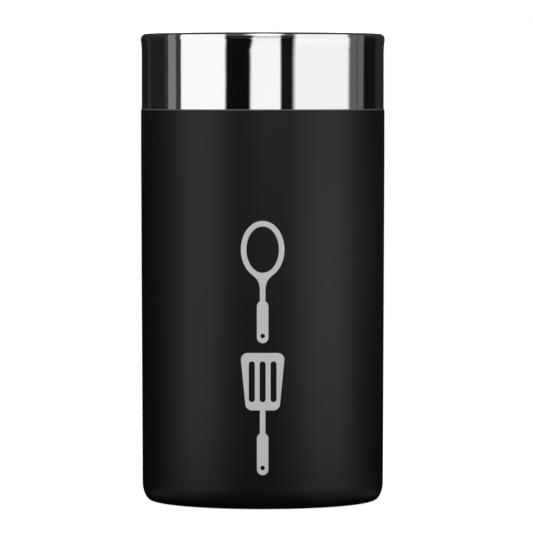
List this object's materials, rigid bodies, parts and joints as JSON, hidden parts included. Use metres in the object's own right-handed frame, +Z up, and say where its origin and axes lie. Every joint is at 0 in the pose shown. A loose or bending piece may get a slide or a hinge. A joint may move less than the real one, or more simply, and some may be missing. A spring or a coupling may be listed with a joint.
{
  "type": "utensil crock",
  "caption": "Tall round utensil crock with a satin black sleeve, a mirror-polished rim band, a steel-lined well and a soft foot ring.",
  "frame": {"origin": "on the crock's axis, on the surface that it stands on", "axes": "+Z up along the crock's axis, -Y the front, +X to the right as seen from the front"},
  "size_m": [0.1002, 0.1002, 0.192],
  "materials": {
    "black_coat": "satin black stoved coat on steel",
    "polished_steel": "mirror-polished stainless steel",
    "satin_steel": "satin stainless steel, brushed round the wall",
    "moulded_plastic": "moulded plastic, dark grey",
    "foot_rubber": "matt black rubber",
    "print_ink": "satin light grey screen print"
  },
  "bodies": {
    "root": {"outer_sleeve": "black_coat", "base_plate": "black_coat", "foot_ring": "foot_rubber", "liner_seat": "moulded_plastic", "inner_liner": "satin_steel", "liner_floor": "satin_steel", "collar_spacer": "moulded_plastic", "rim_collar": "polished_steel"}
  },
  "joints": []
}
